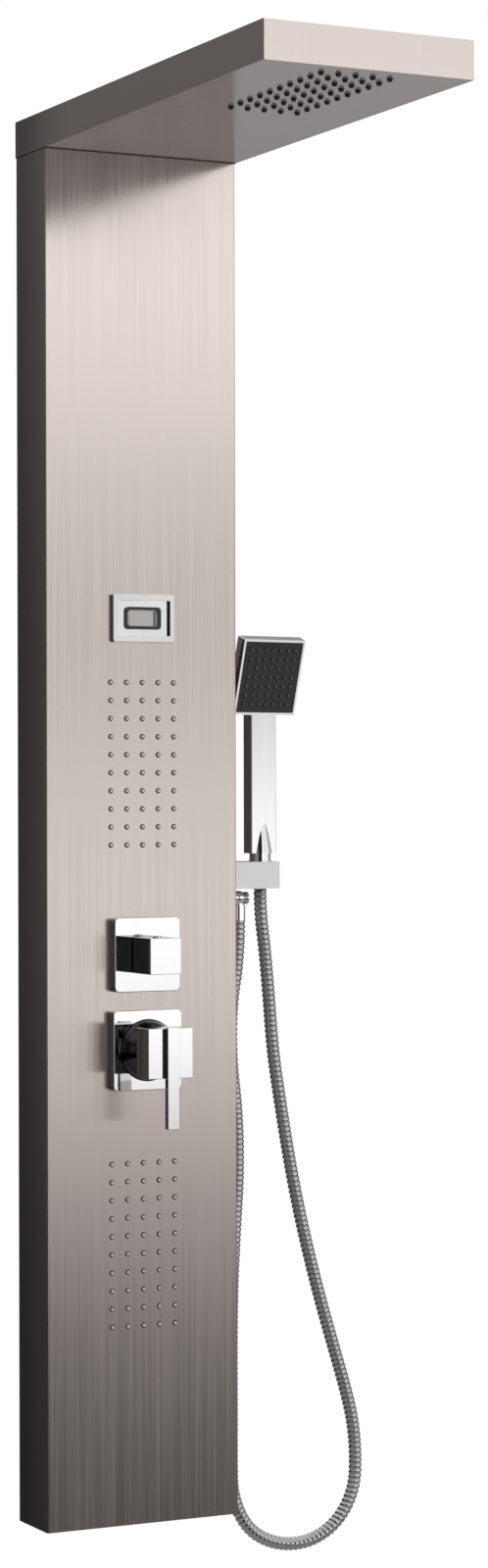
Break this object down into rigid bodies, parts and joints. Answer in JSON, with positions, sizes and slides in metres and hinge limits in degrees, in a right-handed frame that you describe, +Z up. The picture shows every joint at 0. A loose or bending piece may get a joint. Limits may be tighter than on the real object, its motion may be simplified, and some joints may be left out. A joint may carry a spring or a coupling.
{
  "type": "wall-hung shower panel column",
  "caption": "Upright brushed steel shower panel with a cantilevered rain head, body jets, display, diverter, lever mixer and a hand shower on a hose.",
  "frame": {"origin": "centre of the four wall bolts, in the wall's plane", "axes": "+Z up along the column, -Y out of the wall towards the bather, +X to the bather's right when facing the panel"},
  "size_m": [0.3517, 0.52, 1.3826],
  "materials": {
    "brushed_steel": "vertical brushing, satin",
    "bracket_steel": "plain mill finish",
    "fastener_steel": "zinc plated",
    "chrome": "mirror polished",
    "display_panel": "metallised silver",
    "display_black": "gloss",
    "liquid_crystal": "blank grey green",
    "brass": "machined",
    "valve_steel": "turned",
    "cartridge_plastic": "moulded",
    "chamber_plastic": "moulded",
    "water_hose": "translucent grey",
    "dark_silicone": "satin silicone",
    "jet_silicone": "satin silicone",
    "probe_black": "moulded",
    "face_black": "fine satin",
    "hose_steel": "polished spiral metal hose"
  },
  "bodies": {
    "panel": {"column_shell": "brushed_steel", "column_bottom_cover": "brushed_steel", "head_shell": "brushed_steel", "head_underside_plate": "brushed_steel", "lower_wall_bracket": "bracket_steel", "upper_wall_bracket": "bracket_steel", "lower_hanger_rail": "bracket_steel", "upper_hanger_rail": "bracket_steel", "head_gusset_left": "bracket_steel", "head_gusset_right": "bracket_steel", "hanger_rivets": "fastener_steel", "stud_nuts": "fastener_steel", "holder_screws": "fastener_steel", "display_bezel": "chrome", "diverter_plate": "chrome", "mixer_plate": "chrome", "outlet_elbow": "chrome", "hose_outlet_nut": "chrome", "handset_holder": "chrome", "display_housing": "display_panel", "display_window": "display_black", "display_lcd": "liquid_crystal", "diverter_body": "brass", "diverter_locknut": "brass", "mixer_body": "brass", "mixer_ring_nut": "brass", "cartridge_nut": "brass", "hot_inlet": "brass", "cold_inlet": "brass", "mixer_link_pipe": "brass", "outlet_locknut": "brass", "mixer_cartridge": "cartridge_plastic", "rain_chamber": "chamber_plastic", "upper_jet_chamber": "chamber_plastic", "lower_jet_chamber": "chamber_plastic", "rain_riser_hose": "water_hose", "upper_jet_hose": "water_hose", "lower_jet_hose": "water_hose", "handset_feed_hose": "water_hose", "rain_nozzle_pad": "dark_silicone", "upper_jet_pad": "jet_silicone", "lower_jet_pad": "jet_silicone", "temperature_probe": "probe_black", "shower_hose": "hose_steel"},
    "diverter": {"diverter_spindle": "valve_steel", "diverter_knob": "chrome", "knob_set_screw": "fastener_steel", "knob_plug": "chrome"},
    "mixer_turning": {"mixer_carrier": "cartridge_plastic", "carrier_pin": "fastener_steel"},
    "mixer_handle": {"mixer_stem": "valve_steel", "mixer_ball": "chrome", "mixer_block": "chrome", "mixer_lever": "chrome", "lever_screw": "fastener_steel"},
    "hose_end": {"hose_ferrule": "fastener_steel"},
    "handset": {"hose_cone_nut": "chrome", "handset_body": "chrome", "handset_faceplate": "face_black", "handset_nozzles": "dark_silicone"}
  },
  "joints": [
    {"name": "diverter_turn", "type": "hinge", "parent": "panel", "child": "diverter", "pos_m": [0, -0.068, -0.159], "axis": [0, 1, 0], "continuous": true},
    {"name": "mixer_turn", "type": "hinge", "parent": "panel", "child": "mixer_turning", "pos_m": [0, -0.075, -0.2495], "axis": [0, 1, 0], "range_deg": [-45, 45]},
    {"name": "mixer_lift", "type": "hinge", "parent": "mixer_turning", "child": "mixer_handle", "pos_m": [0, -0.075, -0.2495], "axis": [-1, 0, 0], "range_deg": [0, 20]},
    {"name": "handset_lift", "type": "slide", "parent": "panel", "child": "hose_end", "axis": [0, 0, 1], "range_m": [0, 0.06]},
    {"name": "handset_turn", "type": "hinge", "parent": "hose_end", "child": "handset", "pos_m": [0.1405, -0.038, -0.086], "axis": [0, 0, 1], "range_deg": [-12, 70]}
  ]
}
